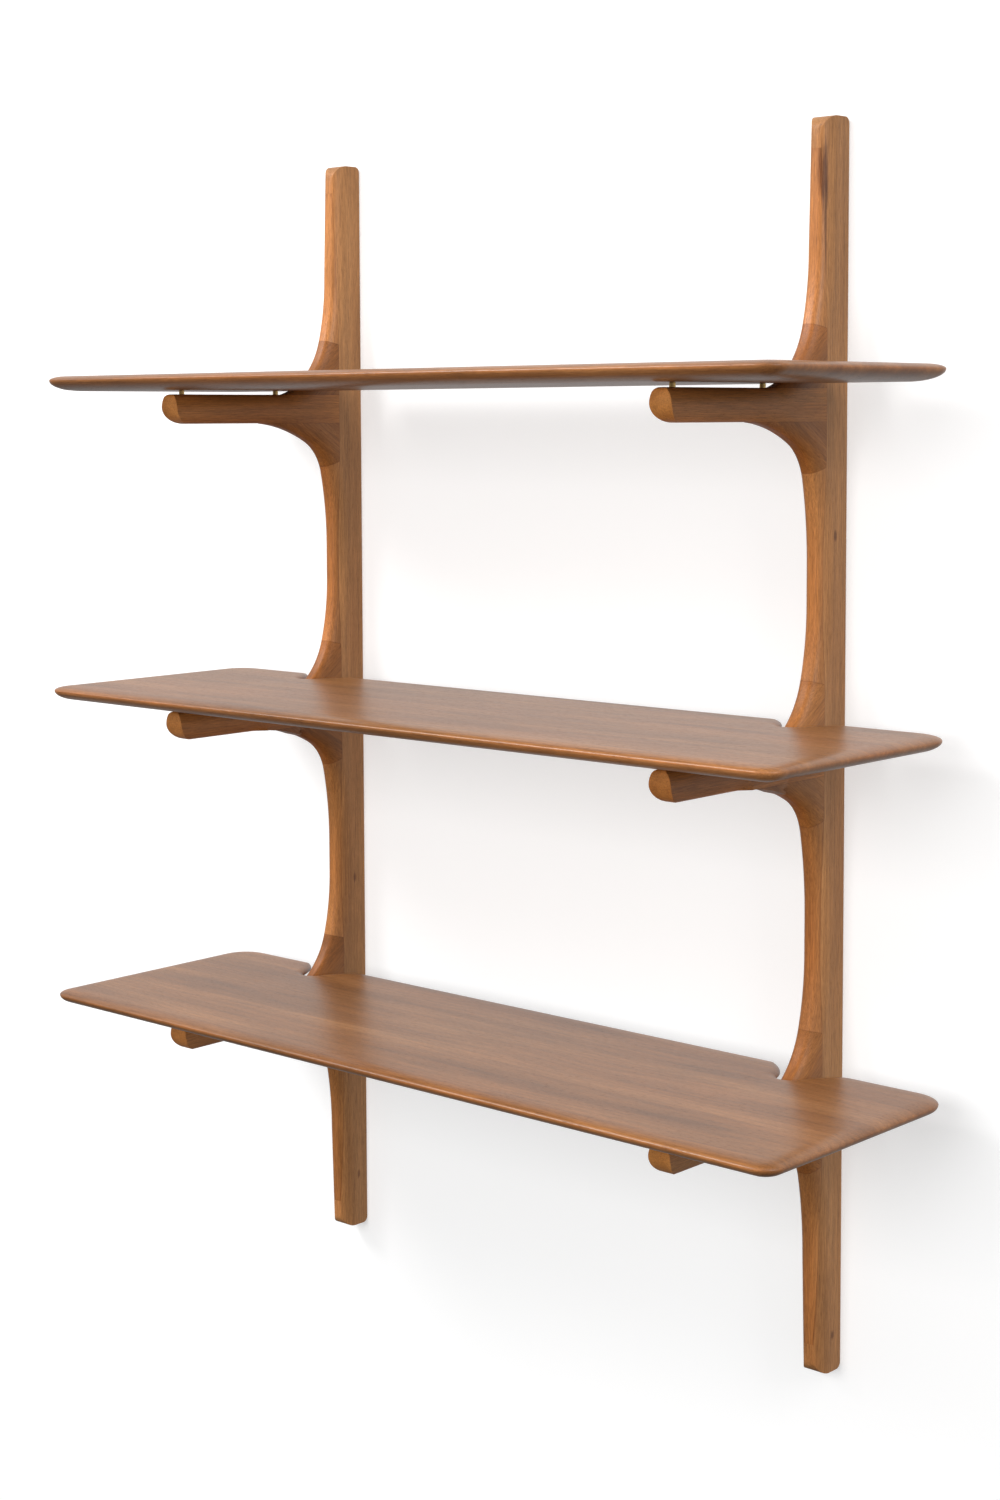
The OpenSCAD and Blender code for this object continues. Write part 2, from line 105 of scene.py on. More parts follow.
# Each flare is a chain of tangent arcs: radius, start direction, end direction
UP_A = turned(12.7, 74.6, 90)
LOW_A = turned(3, 28, 78, 90)
LOW_END_A = math.radians(70)
FLARE_UP = [(88 * MM, UP_A[0], UP_A[1]), (273 * MM, UP_A[1], UP_A[2])]
FLARE_LOW = [
    (190 * MM, LOW_A[0], LOW_A[1]),
    (53 * MM, LOW_A[1], LOW_A[2]),
    (400 * MM, LOW_A[2], LOW_A[3]),
]
SAME_ANGLE = 1e-9


class Flare:
    """The free edge of a flare, in (out, rise), where rise is measured away from the arm's own face."""

    def __init__(self, arcs):
        self.arcs = arcs
        self.height = sum(r * (math.cos(a) - math.cos(b)) for r, a, b in arcs)
        self.tip = UPRIGHT_D + sum(r * (math.sin(b) - math.sin(a)) for r, a, b in arcs)
        self.centres = []
        out, rise = self.tip, 0.0
        for r, a, b in arcs:
            self.centres.append((out + r * math.sin(a), rise + r * math.cos(a)))
            out -= r * (math.sin(b) - math.sin(a))
            rise += r * (math.cos(a) - math.cos(b))

    def point(self, a):
        i = next((k for k, arc in enumerate(self.arcs) if a <= arc[2] + SAME_ANGLE), len(self.arcs) - 1)
        r, c = self.arcs[i][0], self.centres[i]
        return c[0] - r * math.sin(a), c[1] - r * math.cos(a)

    def seen(self, i, p):
        c = self.centres[i]
        return math.atan2(c[0] - p[0], c[1] - p[1])

    def inset(self, p):
        """Distance into the wood from the free edge, or from the arm's face in front of it."""
        for i, (r, start, end) in enumerate(self.arcs):
            a = self.seen(i, p)
            if i == 0 and a < start:
                return -p[1]
            if a <= end:
                return math.dist(p, self.centres[i]) - r
        return UPRIGHT_D - p[0]

    def tip_a(self):
        r, start, _ = self.arcs[0]
        return math.acos(math.cos(start) - TIP_THICK / r)


up_flare, low_flare = Flare(FLARE_UP), Flare(FLARE_LOW)
TAPER_LOW = LEVEL_Z[2] + ARM_LOW - low_flare.height
TAPER_HIGH = LEVEL_Z[0] + ARM_TOP + up_flare.height


def rounded_half(inset, depth):
    if depth <= 0:
        return NOSE_HALF
    u = 1 - min(max(inset, 0.0), depth) / depth
    return NOSE_HALF + (FLAT_HALF - NOSE_HALF) * math.sqrt(max(1 - u * u, 0.0))


def insets(p, z0):
    return low_flare.inset((p[0], z0 + ARM_LOW - p[1])), up_flare.inset((p[0], p[1] - z0 - ARM_TOP))


def taper_at(z):
    if z > TAPER_HIGH:
        return END_TAPER * (z - TAPER_HIGH) / (UPRIGHT_H / 2 - TAPER_HIGH)
    if z < TAPER_LOW:
        return END_TAPER * (TAPER_LOW - z) / (UPRIGHT_H / 2 + TAPER_LOW)
    return 0.0


def wood_half(p):
    """Half width of the wood at a point of the side profile."""
    taper = taper_at(p[1])
    if taper > 0:
        return rounded_half(UPRIGHT_D - taper - p[0], ROUND_D)
    halves = []
    for z0 in LEVEL_Z:
        low, up = insets(p, z0)
        halves.append(rounded_half(min(low, up), min(ROUND_D, (low + up) / 2)))
    return max(halves)


def edge_inset(p):
    """Distance into the wood from the nearest free edge of the side profile."""
    taper = taper_at(p[1])
    if taper > 0:
        return UPRIGHT_D - taper - p[0]
    return max(min(insets(p, z0)) for z0 in LEVEL_Z)


def steps(a, b, n):
    return [a + (b - a) * i / n for i in range(n + 1)]


# ---- Meshes
def finish_mesh(name, bm, sharp=32):
    bmesh.ops.recalc_face_normals(bm, faces=bm.faces)
    mesh = bpy.data.meshes.new(name)
    bm.to_mesh(mesh)
    bm.free()
    for poly in mesh.polygons:
        poly.use_smooth = True
    mesh.set_sharp_from_angle(angle=math.radians(sharp))
    obj = bpy.data.objects.new(name, mesh)
    bpy.context.scene.collection.objects.link(obj)
    return obj


def loft(bm, rings, ends):
    """A closed skin over rings of the same number of points. ends are the faces at its two ends."""
    verts = [[bm.verts.new(p) for p in ring] for ring in rings]
    m = len(rings[0])
    for low, high in zip(verts, verts[1:]):
        for j in range(m):
            k = (j + 1) % m
            bm.faces.new((low[j], low[k], high[k], high[j]))
    for ring in (verts[0], verts[-1]):
        for end in ends:
            bm.faces.new([ring[j] for j in end])


def rib_ring(p, q, fractions):
    side = []
    for f in fractions:
        s = (p[0] + f * (q[0] - p[0]), p[1] + f * (q[1] - p[1]))
        side.append((wood_half(s), -s[0], s[1]))
    return side + [(-x, y, z) for x, y, z in reversed(side)]


def rungs(n):
    return [[j, j + 1, 2 * n - 2 - j, 2 * n - 1 - j] for j in range(n - 1)]


# Fractions along a rib that crowd towards its free edge, or towards both of its ends
FREE_EDGE = [f**2 for f in steps(0, 1, 18)]
BOTH_EDGES = [(1 - math.cos(a)) / 2 for a in steps(0, math.pi, 30)]
# A distance that stands for no glue plane at all
NO_SEAM = 1.0
# How far in from an edge the wear of the uprights fades, and how far from a board's crest its painted
# highlight fades
WOOD_WEAR, CREST_HIGHLIGHT = 3 * MM, 1.2 * MM
# A piece's grain starts at a place of its own, up to this far away
GRAIN_SPREAD = 9


def write_attributes(obj, grain, seams=(), tone=0.0, wear_and_highlight=None):
    """Per point: grain coordinates, distances to up to three glue planes, tone, and the lightening of worn
    upright edges and of the painted highlight on board crests.
    """
    mesh = obj.data
    g, s, t, w = [], [], [], []
    for v in mesh.vertices:
        g.extend(grain(v.co))
        near = [f(v.co) for f in seams][:3]
        s.extend(near + [NO_SEAM] * (3 - len(near)))
        t.append(tone)
        w.append(wear_and_highlight(v.co) if wear_and_highlight else 0.0)
    for name, values in (("grain", g), ("seam", s)):
        mesh.attributes.new(name, "FLOAT_VECTOR", "POINT").data.foreach_set("vector", values)
    for name, values in (("tone", t), ("wear_and_highlight", w)):
        mesh.attributes.new(name, "FLOAT", "POINT").data.foreach_set("value", values)


def grain_of(seed, along, across, through):
    """Grain coordinates: three directions, from a starting place of its own for each piece."""
    rnd = random.Random(seed)
    start = Vector([rnd.uniform(0, GRAIN_SPREAD) for _ in range(3)])

    def at(co):
        return (co.dot(along) + start.x, co.dot(across) + start.y, co.dot(through) + start.z)

    return at


X, Y, Z = Vector((1, 0, 0)), Vector((0, 1, 0)), Vector((0, 0, 1))


def wood_wear(co):
    return math.exp(-max(edge_inset((-co.y, co.z)), 0.0) / WOOD_WEAR)


# ---- Materials
class Nodes:
    """Short names for the nodes of one material."""

    def __init__(self, name):
        self.material = bpy.data.materials.new(name)
        self.material.use_nodes = True
        self.tree = self.material.node_tree
        self.shader = self.tree.nodes["Principled BSDF"]

    def node(self, kind, **values):
        n = self.tree.nodes.new(kind)
        for key, value in values.items():
            setattr(n, key, value)
        return n

    def link(self, value, socket):
        if isinstance(value, bpy.types.NodeSocket):
            self.tree.links.new(value, socket)
        else:
            socket.default_value = value

    def attribute(self, name):
        return self.node("ShaderNodeAttribute", attribute_name=name)

    def maths(self, operation, a, b=0.0, c=0.0, clamp=False):
        n = self.node("ShaderNodeMath", operation=operation, use_clamp=clamp)
        for value, socket in zip((a, b, c), n.inputs):
            self.link(value, socket)
        return n.outputs[0]

    def vector(self, operation, a, b=None):
        n = self.node("ShaderNodeVectorMath", operation=operation)
        self.link(a, n.inputs[0])
        if b is not None:
            self.link(b, n.inputs[1])
        return n.outputs["Value" if operation in ("LENGTH", "DOT_PRODUCT") else "Vector"]

    def noise(self, coords, scale, detail=3.0, rough=0.55, distortion=0.0):
        """Noise with its own number of cells a metre in each direction."""
        n = self.node("ShaderNodeTexNoise")
        self.link(self.vector("MULTIPLY", coords, scale), n.inputs["Vector"])
        n.inputs["Scale"].default_value = 1.0
        n.inputs["Detail"].default_value = detail
        n.inputs["Roughness"].default_value = rough
        n.inputs["Distortion"].default_value = distortion
        return n.outputs["Fac"]

    def ramp(self, factor, *stops):
        n = self.node("ShaderNodeValToRGB")
        elements = n.color_ramp.elements
        while len(elements) < len(stops):
            elements.new(0.5)
        for element, (place, colour) in zip(elements, stops):
            element.position = place
            element.color = (*colour, 1) if isinstance(colour, tuple) else (colour, colour, colour, 1)
        self.link(factor, n.inputs["Fac"])
        return n.outputs["Color"]

    def range(self, value, low, high, out_low=0.0, out_high=1.0):
        n = self.node("ShaderNodeMapRange")
        keys = ("Value", "From Min", "From Max", "To Min", "To Max")
        for v, key in zip((value, low, high, out_low, out_high), keys):
            self.link(v, n.inputs[key])
        return n.outputs["Result"]

    def mix(self, blend, factor, a, b):
        n = self.node("ShaderNodeMix", data_type="RGBA", blend_type=blend)
        self.link(factor, n.inputs["Factor"])
        self.link(a, n.inputs[6])
        self.link(b, n.inputs[7])
        return n.outputs[2]

    def times(self, base, colour):
        return self.mix("MULTIPLY", 1.0, base, colour)

    def tint(self, factor, base, colour):
        """The base multiplied by a colour, as far as the factor says."""
        return self.mix("MIX", factor, base, self.times(base, (*colour, 1)))

    def grey(self, value):
        n = self.node("ShaderNodeCombineColor")
        for socket in n.inputs:
            self.link(value, socket)
        return n.outputs[0]

    def bump(self, height, distance, strength, normal=None):
        n = self.node("ShaderNodeBump")
        self.link(height, n.inputs["Height"])
        n.inputs["Distance"].default_value = distance
        n.inputs["Strength"].default_value = strength
        if normal is not None:
            self.link(normal, n.inputs["Normal"])
        return n.outputs["Normal"]


# Noise cells a metre along the grain, across it and through it
BAND_CELLS, CLOUD_CELLS, WARP_CELLS = (2.2, 26, 26), (5.5, 12, 12), (3.0, 14, 14)
STREAK_CELLS, FIBRE_CELLS, VESSEL_CELLS = (9, 520, 520), (60, 1500, 1500), (150, 1900, 1900)
DRIFT_CELLS = (1.6, 9, 9)
# Growth rings lie round a pith off to one side: radians a metre, their waviness, and their flattening
RING_RATE, RING_WARP, RING_FLAT = 520.0, 46.0, (0.0, 1.0, 0.35)
RING_DARK, RING_LIGHT = 0.055, 0.04
# What each mark in the wood multiplies the colour by; the worn-edge tint also paints a highlight along each
# board's crest
RED_DRIFT, PORE_TINT, KNOT_TINT = (1.10, 0.90, 0.82), (0.42, 0.34, 0.30), (0.30, 0.22, 0.22)
WORN_EDGE_AND_HIGHLIGHT_TINT, GLUE_TINT = (1.55, 1.25, 1.00), (0.45, 0.36, 0.32)
GLUE_HALF, GLUE_FADE = 0.15 * MM, 0.75 * MM
PORE_DEPTH, SWELL_DEPTH, SCRATCH_DEPTH = 0.05 * MM, 0.4 * MM, 0.02 * MM
COAT_ROUGH = 0.30


def wood(name, dark, mid, light, figure, pores, rough, coat, ior=1.40, marks=()):
    """Varnished hardwood: bands, rings, fibres and open pores along the grain, and dark glue lines."""
    n = Nodes(name)
    coords = n.attribute("grain").outputs["Vector"]
    bands = n.noise(coords, BAND_CELLS, 4, 0.5, 0.35)
    clouds = n.noise(coords, CLOUD_CELLS, 2, 0.5)
    warp = n.noise(coords, WARP_CELLS, 2, 0.5)
    streaks = n.noise(coords, STREAK_CELLS, 5, 0.66)
    fibres = n.noise(coords, FIBRE_CELLS, 3, 0.65)
    vessels = n.noise(coords, VESSEL_CELLS, 2, 0.5)
    radius = n.maths("MULTIPLY", n.vector("LENGTH", n.vector("MULTIPLY", coords, RING_FLAT)), RING_RATE)
    rings = n.maths("SINE", n.maths("ADD", radius, n.maths("MULTIPLY", warp, RING_WARP)))
    base = n.ramp(bands, (0.24, dark), (0.5, mid), (0.78, light))
    base = n.times(base, n.ramp(clouds, (0.3, 0.90), (0.7, 1.08)))
    base = n.times(base, n.ramp(streaks, (0.30, 0.78), (0.50, 1.0), (0.72, 1.18)))
    base = n.times(base, n.ramp(fibres, (0.32, 0.72), (0.66, 1.16)))
    base = n.times(base, n.grey(n.range(rings, -1.0, 1.0, 1 - RING_DARK * figure, 1 + RING_LIGHT * figure)))
    drift = n.range(n.noise(coords, DRIFT_CELLS, 2), 0.35, 0.7)
    base = n.tint(n.maths("MULTIPLY", drift, 0.30), base, RED_DRIFT)
    pore = n.range(vessels, 0.56, 0.66)
    pore = n.maths("MULTIPLY", pore, n.range(streaks, 0.35, 0.6, 1.0, 0.35), clamp=True)
    base = n.tint(n.maths("MULTIPLY", pore, 0.38 * pores), base, PORE_TINT)
    # Knots and dark streaks, each with its place and its half sizes in grain coordinates
    for place, half, strength in marks:
        away = n.vector("MULTIPLY", n.vector("SUBTRACT", coords, place), [1 / h for h in half])
        ragged = n.maths("ADD", n.vector("LENGTH", away), n.range(streaks, 0.3, 0.7, -0.35, 0.35))
        spot = n.maths("MULTIPLY", n.range(ragged, 0.45, 1.05, 1.0, 0.0), strength)
        base = n.tint(spot, base, KNOT_TINT)
    # Burnished free edges of the uprights and a painted highlight along each board's crest, and the dark
    # line of each glue joint
    wear_and_highlight = n.attribute("wear_and_highlight").outputs["Fac"]
    base = n.tint(n.maths("MULTIPLY", wear_and_highlight, n.range(clouds, 0.35, 0.65, 0.15, 0.45)), base, WORN_EDGE_AND_HIGHLIGHT_TINT)
    split = n.node("ShaderNodeSeparateXYZ")
    n.link(n.attribute("seam").outputs["Vector"], split.inputs[0])
    near = n.maths("MINIMUM", n.maths("MINIMUM", split.outputs[0], split.outputs[1]), split.outputs[2])
    line = n.range(near, GLUE_HALF, GLUE_FADE, 1.0, 0.0)
    base = n.tint(n.maths("MULTIPLY", line, 0.45), base, GLUE_TINT)
    base = n.times(base, n.grey(n.maths("ADD", n.attribute("tone").outputs["Fac"], 1.0)))
    n.link(base, n.shader.inputs["Base Color"])
    uneven = n.maths("ADD", n.maths("MULTIPLY", streaks, 0.12), n.maths("MULTIPLY", pore, 0.18))
    n.link(n.maths("ADD", uneven, rough - 0.06), n.shader.inputs["Roughness"])
    height = n.maths("SUBTRACT", n.maths("MULTIPLY", fibres, 0.35), n.maths("MULTIPLY", pore, 0.9))
    height = n.maths("SUBTRACT", height, n.maths("MULTIPLY", line, 1.2))
    fine = n.bump(height, PORE_DEPTH, 0.55)
    n.link(n.bump(bands, SWELL_DEPTH, 0.10, fine), n.shader.inputs["Normal"])
    n.shader.inputs["IOR"].default_value = ior
    n.shader.inputs["Coat Weight"].default_value = coat
    n.shader.inputs["Coat Roughness"].default_value = COAT_ROUGH
    return n.material


def metal(name, colour, rough, brushed):
    """Turned or plated metal with fine scratches, faint clouds and a slightly uneven finish."""
    n = Nodes(name)
    place = n.node("ShaderNodeTexCoord").outputs["Object"]
    clouds = n.noise(place, (260, 260, 260), 3)
    lines = n.noise(place, brushed, 3, 0.6)
    base = n.ramp(clouds, (0.3, tuple(c * 0.86 for c in colour)), (0.7, colour))
    base = n.times(base, n.ramp(lines, (0.3, 0.92), (0.7, 1.04)))
    n.link(base, n.shader.inputs["Base Color"])
    n.shader.inputs["Metallic"].default_value = 1.0
    n.link(n.maths("ADD", n.maths("MULTIPLY", lines, 0.18), rough - 0.09), n.shader.inputs["Roughness"])
    n.link(n.bump(lines, SCRATCH_DEPTH, 0.4), n.shader.inputs["Normal"])
    return n.material


def mark(piece, x, out, z, half, strength):
    """A knot or streak in one piece of an upright, whose grain runs up it."""
    return grain_of(piece, Z, Y, X)(Vector((x, -out, z))), half, strength


# Half sizes along the grain, outwards and across the upright's width
KNOT = (6 * MM, 3.2 * MM, 6 * MM)
STREAK, STREAK_TAIL = (36 * MM, 3.5 * MM, 9 * MM), (60 * MM, 1.4 * MM, 9 * MM)
FRONT_STREAK = (34 * MM, 2.5 * MM, 9 * MM)
RAIL_MARKS = [
    mark("upright_back_right", 13 * MM, 20 * MM, 220 * MM, KNOT, 0.75),
    mark("upright_back_right", 13 * MM, 15 * MM, -592 * MM, KNOT, 0.70),
    mark("upright_back_left", 13 * MM, 17 * MM, -207 * MM, KNOT, 0.60),
    mark("upright_back_left", 13 * MM, 14 * MM, -568 * MM, KNOT, 0.60),
    mark("upright_back_right", 8 * MM, 36 * MM, 572 * MM, STREAK, 0.85),
    mark("upright_back_right", 10 * MM, 35.5 * MM, 515 * MM, STREAK_TAIL, 0.60),
]
FRONT_MARKS = [mark("front_top_right", 8 * MM, 38 * MM, 572 * MM, FRONT_STREAK, 0.75)]
board_wood = wood(
    "board_varnish",
    dark=(0.170, 0.066, 0.019),
    mid=(0.272, 0.113, 0.036),
    light=(0.380, 0.174, 0.063),
    figure=1.4,
    pores=2.0,
    rough=0.34,
    coat=0.06,
    ior=1.46,
)
rail_wood = wood(
    "rail_varnish",
    dark=(0.290, 0.126, 0.042),
    mid=(0.400, 0.184, 0.064),
    light=(0.500, 0.248, 0.094),
    figure=0.7,
    pores=1.3,
    rough=0.50,
    coat=0.02,
    marks=RAIL_MARKS,
)
front_wood = wood(
    "front_varnish",
    dark=(0.280, 0.114, 0.034),
    mid=(0.395, 0.170, 0.053),
    light=(0.515, 0.244, 0.084),
    figure=0.8,
    pores=1.2,
    rough=0.40,
    coat=0.06,
    marks=FRONT_MARKS,
)
flare_wood = wood(
    "flare_varnish",
    dark=(0.205, 0.076, 0.018),
    mid=(0.310, 0.120, 0.030),
    light=(0.420, 0.178, 0.050),
    figure=1.2,
    pores=1.3,
    rough=0.46,
    coat=0.0,
)
arm_wood = wood(
    "arm_varnish",
    dark=(0.300, 0.108, 0.026),
    mid=(0.430, 0.168, 0.041),
    light=(0.560, 0.240, 0.064),
    figure=0.9,
    pores=1.3,
    rough=0.46,
    coat=0.0,
)
brass = metal("turned_brass", (0.80, 0.55, 0.22), 0.26, (900, 900, 5200))
steel = metal("zinc_plate", (0.62, 0.64, 0.67), 0.38, (700, 700, 240))


# ---- Wooden pieces of the uprights
def place_piece(obj, node, material, side, body="wall_frame"):
    obj.location.x = SIDES[side] * UPRIGHT_X
    obj.data.materials.append(material)
    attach(obj, body)
    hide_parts(node)


def to_profile(p, z0, up):
    return p[0], (z0 + ARM_TOP + p[1]) if up else (z0 + ARM_LOW - p[1])


def tail_rib(flare, a):
    p = flare.point(a)
    d = (p[0] - GLUE_OUT) / math.sin(a)
    return p, (GLUE_OUT, p[1] - d * math.cos(a))


def arm_rib(flare, a):
    p = flare.point(a)
    d = p[1] / math.cos(a)
    return p, (p[0] - d * math.sin(a), 0.0)


def in_place(ribs, z0, up):
    return [(to_profile(p, z0, up), to_profile(q, z0, up)) for p, q in ribs]


def ribbed(name, ribs, fractions=FREE_EDGE):
    bm = bmesh.new()
    loft(bm, [rib_ring(p, q, fractions) for p, q in ribs], rungs(len(fractions)))
    return finish_mesh(name, bm)


def plane_distance(p, q):
    """Distance from the plane through two profile points, square to the side."""
    d = Vector((q[0] - p[0], q[1] - p[1])).normalized()

    def at(co):
        return abs((-co.y - p[0]) * d.y - (co.z - p[1]) * d.x)

    return at


def out_distance(out):
    return lambda co: abs(-co.y - out)


def height_distance(z):
    return lambda co: abs(co.z - z)


# How the grain of the blocks above and below an arm is tilted
ABOVE_TILT, BELOW_TILT = turned(-38, 32)


def block_tilt(angle):
    """Two directions in the side plane, the first at an angle above the arm's direction."""
    c, s = math.cos(angle), math.sin(angle)
    return Vector((0, -c, s)), Vector((0, s, c))


def upper_flare(side, level):
    z0 = LEVEL_Z[LEVELS.index(level)]
    corner = up_flare.seen(0, (GLUE_OUT, 0.0))
    ribs = [arm_rib(up_flare, a) for a in steps(up_flare.tip_a(), corner, 22)]
    ribs += [tail_rib(up_flare, a) for a in steps(corner, UP_A[1], 12)[1:]]
    placed = in_place(ribs, z0, True)
    name = f"block_above_{level}_{side}"
    obj = ribbed(name, placed)
    along, across = block_tilt(ABOVE_TILT)
    seams = [height_distance(z0 + ARM_TOP), out_distance(GLUE_OUT), plane_distance(*placed[-1])]
    tone = random.Random(name).uniform(-0.10, 0.08)
    write_attributes(obj, grain_of(name, along, across, X), seams, tone, wood_wear)
    place_piece(obj, f"upper_flare_{level}_{side}", flare_wood, side)


def lower_flare(side, level):
    z0 = LEVEL_Z[LEVELS.index(level)]
    corner = low_flare.seen(1, (GLUE_OUT, 0.0))
    ribs = [arm_rib(low_flare, a) for a in steps(low_flare.tip_a(), LOW_A[1], 16)]
    ribs += [arm_rib(low_flare, a) for a in steps(LOW_A[1], corner, 12)[1:]]
    ribs += [tail_rib(low_flare, a) for a in steps(corner, LOW_END_A, 10)[1:]]
    placed = in_place(ribs, z0, False)
    name = f"block_below_{level}_{side}"
    obj = ribbed(name, placed)
    along, across = block_tilt(BELOW_TILT)
    seams = [height_distance(z0 + ARM_LOW), out_distance(GLUE_OUT), plane_distance(*placed[-1])]
    tone = random.Random(name).uniform(-0.08, 0.10)
    write_attributes(obj, grain_of(name, along, across, X), seams, tone, wood_wear)
    place_piece(obj, f"lower_flare_{level}_{side}", flare_wood, side)


def tip_rib(a):
    out = ARM_OUT - TIP_UNDER_D * (1 - math.cos(a))
    over = max(out - ARM_OUT + TIP_TOP_R, 0.0)
    top = ARM_TOP - TIP_TOP_R + math.sqrt(max(TIP_TOP_R**2 - over**2, 0.0))
    return (out, top), (out, ARM_LOW + TIP_UNDER_H * (1 - math.sin(a)))


def arm(side, level):
    z0 = LEVEL_Z[LEVELS.index(level)]
    ribs = [tip_rib(a) for a in steps(0, math.pi / 2, 24)]
    shaft = steps(ARM_OUT - TIP_UNDER_D, low_flare.tip, 8)[1:]
    shaft += steps(low_flare.tip, GLUE_OUT, 40)[1:]
    ribs += [((out, ARM_TOP), (out, ARM_LOW)) for out in shaft]
    name = f"arm_{level}_{side}_oiled"
    obj = ribbed(name, [((p[0], p[1] + z0), (q[0], q[1] + z0)) for p, q in ribs], BOTH_EDGES)
    tone = random.Random(name).uniform(-0.06, 0.06)
    seams = [out_distance(GLUE_OUT)]
    write_attributes(obj, grain_of(name, -Y, Z, X), seams, tone, wood_wear)
    place_piece(obj, f"arm_{level}_{side}", arm_wood, side)


def up_tail(z0):
    return in_place([tail_rib(up_flare, a) for a in steps(UP_A[1], UP_A[2], 12)], z0, True)


def low_tail(z0):
    angles = steps(LOW_END_A, LOW_A[2], 6) + steps(LOW_A[2], LOW_A[3], 10)[1:]
    return in_place([tail_rib(low_flare, a) for a in angles], z0, False)


END_FRONT = UPRIGHT_D - END_TAPER
END_FLAT = UPRIGHT_H / 2 - END_FRONT_R
RUN_OUT_Z = UPRIGHT_H / 2 - STRIP_END


def front_out(z):
    return UPRIGHT_D - taper_at(z)


def run_out_rib(sign):
    """Where the front strip of an end runs out into the front edge."""
    z = sign * RUN_OUT_Z
    return (front_out(z), z), (front_out(z) - TIP_THICK, z)


def between(ribs, count):
    """More ribs between the last of a tail and the first of the next stretch."""
    (p0, q0), (p1, q1) = ribs
    mixed = []
    for f in steps(0, 1, count)[1:-1]:
        p = (p0[0] + f * (p1[0] - p0[0]), p0[1] + f * (p1[1] - p0[1]))
        mixed.append((p, (q0[0] + f * (q1[0] - q0[0]), q0[1] + f * (q1[1] - q0[1]))))
    return mixed


def slant(sign):
    """Start and end of the slanted glue plane behind the strip at one end of an upright."""
    tail = up_tail(LEVEL_Z[0]) if sign > 0 else low_tail(LEVEL_Z[2])
    return tail[-1][1], run_out_rib(sign)[1]


def strip(side, part, ribs):
    name = f"front_{part}_{side}"
    obj = ribbed(name, ribs)
    tone = random.Random(name).uniform(-0.05, 0.05)
    if part == "top":
        seams = [plane_distance(*slant(1)), plane_distance(*ribs[0])]
    elif part == "bottom":
        seams = [plane_distance(*slant(-1)), plane_distance(*ribs[-1])]
    else:
        seams = [out_distance(GLUE_OUT), plane_distance(*ribs[0]), plane_distance(*ribs[-1])]
    write_attributes(obj, grain_of(name, Z, Y, X), seams, tone, wood_wear)
    place_piece(obj, f"strip_{part}_{side}", front_wood, side)


def strips(side):
    tail, end = up_tail(LEVEL_Z[0]), run_out_rib(1)
    strip(side, "top", tail + between((tail[-1], end), 16) + [end])
    for part, level in (("upper", 0), ("lower", 1)):
        lower_part = up_tail(LEVEL_Z[level + 1])
        upper_part = low_tail(LEVEL_Z[level])[::-1]
        strip(side, part, lower_part + between((lower_part[-1], upper_part[0]), 8) + upper_part)
    tail, end = low_tail(LEVEL_Z[2]), run_out_rib(-1)
    strip(side, "bottom", (tail + between((tail[-1], end), 16) + [end])[::-1])


# ---- Rails, with the recesses for the hangers
WALL_EASE = 0.8 * MM
RAIL_SHARP = 40


def rail_front(z):
    """Distance from the wall to a rail's front: glue plane, its slant to the run-out, front edge."""
    start, end = slant(1 if z > 0 else -1)
    share = (abs(z) - abs(start[1])) / (abs(end[1]) - abs(start[1]))
    if share <= 0:
        return GLUE_OUT
    if share <= 1:
        return GLUE_OUT + share * (end[0] - GLUE_OUT)
    over = abs(z) - END_FLAT
    if over > 0:
        return END_FRONT - END_FRONT_R + math.sqrt(max(END_FRONT_R**2 - over**2, 0.0))
    return front_out(z)


def rail_seam(co):
    """Distance from the glue plane behind the front pieces, which slants outwards near the ends."""
    if abs(co.z) > RUN_OUT_Z:
        return abs(-co.y - END_FRONT) + (abs(co.z) - RUN_OUT_Z)
    return abs(rail_front(co.z) + co.y)


def rail_wall(z):
    over = max(abs(z) - UPRIGHT_H / 2 + END_WALL_R, 0.0)
    return END_WALL_R - math.sqrt(max(END_WALL_R**2 - over**2, 0.0))


def rail_stations():
    ends = [RUN_OUT_Z, RUN_OUT_Z + TIP_THICK] + steps(RUN_OUT_Z + TIP_THICK, END_FLAT, 4)
    ends += [END_FLAT + END_FRONT_R * math.sin(a) for a in steps(0, math.pi / 2, 14)]
    stations = [-z for z in ends] + ends + steps(-END_FLAT, END_FLAT, 60)
    stations += steps(slant(1)[0][1], RUN_OUT_Z, 20) + steps(slant(-1)[0][1], -RUN_OUT_Z, 20)
    for z0 in LEVEL_Z:
        stations += [q[1] for _, q in up_tail(z0) + low_tail(z0)]
        stations += [z0 + ARM_LOW, z0 + ARM_TOP]
    return sorted({round(z, 5) for z in stations})


def rail(side):
    name = f"upright_back_{side}"
    bm = bmesh.new()
    rings = []
    for z in rail_stations():
        front, wall = rail_front(z), rail_wall(z)
        outs = [front + f * (wall + WALL_EASE - front) for f in FREE_EDGE]
        row = [(wood_half((out, z)), -out, z) for out in outs] + [(FLAT_HALF - WALL_EASE, -wall, z)]
        rings.append(row + [(-x, y, zz) for x, y, zz in reversed(row)])
    loft(bm, rings, rungs(len(rings[0]) // 2))
    obj = finish_mesh(name, bm, RAIL_SHARP)
    cut_recesses(obj)
    tone = random.Random(name).uniform(-0.03, 0.03)
    write_attributes(obj, grain_of(name, Z, Y, X), [rail_seam], tone, wood_wear)
    place_piece(obj, f"rail_{side}", rail_wood, side)


PLATE_W, PLATE_H, PLATE_T = 16 * MM, 50 * MM, 2 * MM
ENTRY_R, SLOT_RISE = 4.75 * MM, 12 * MM
POCKET_D, POCKET_ROOM = 10 * MM, 1 * MM
HANGER_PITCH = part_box("hanger_top_right")[1].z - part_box("hanger_bottom_right")[1].z


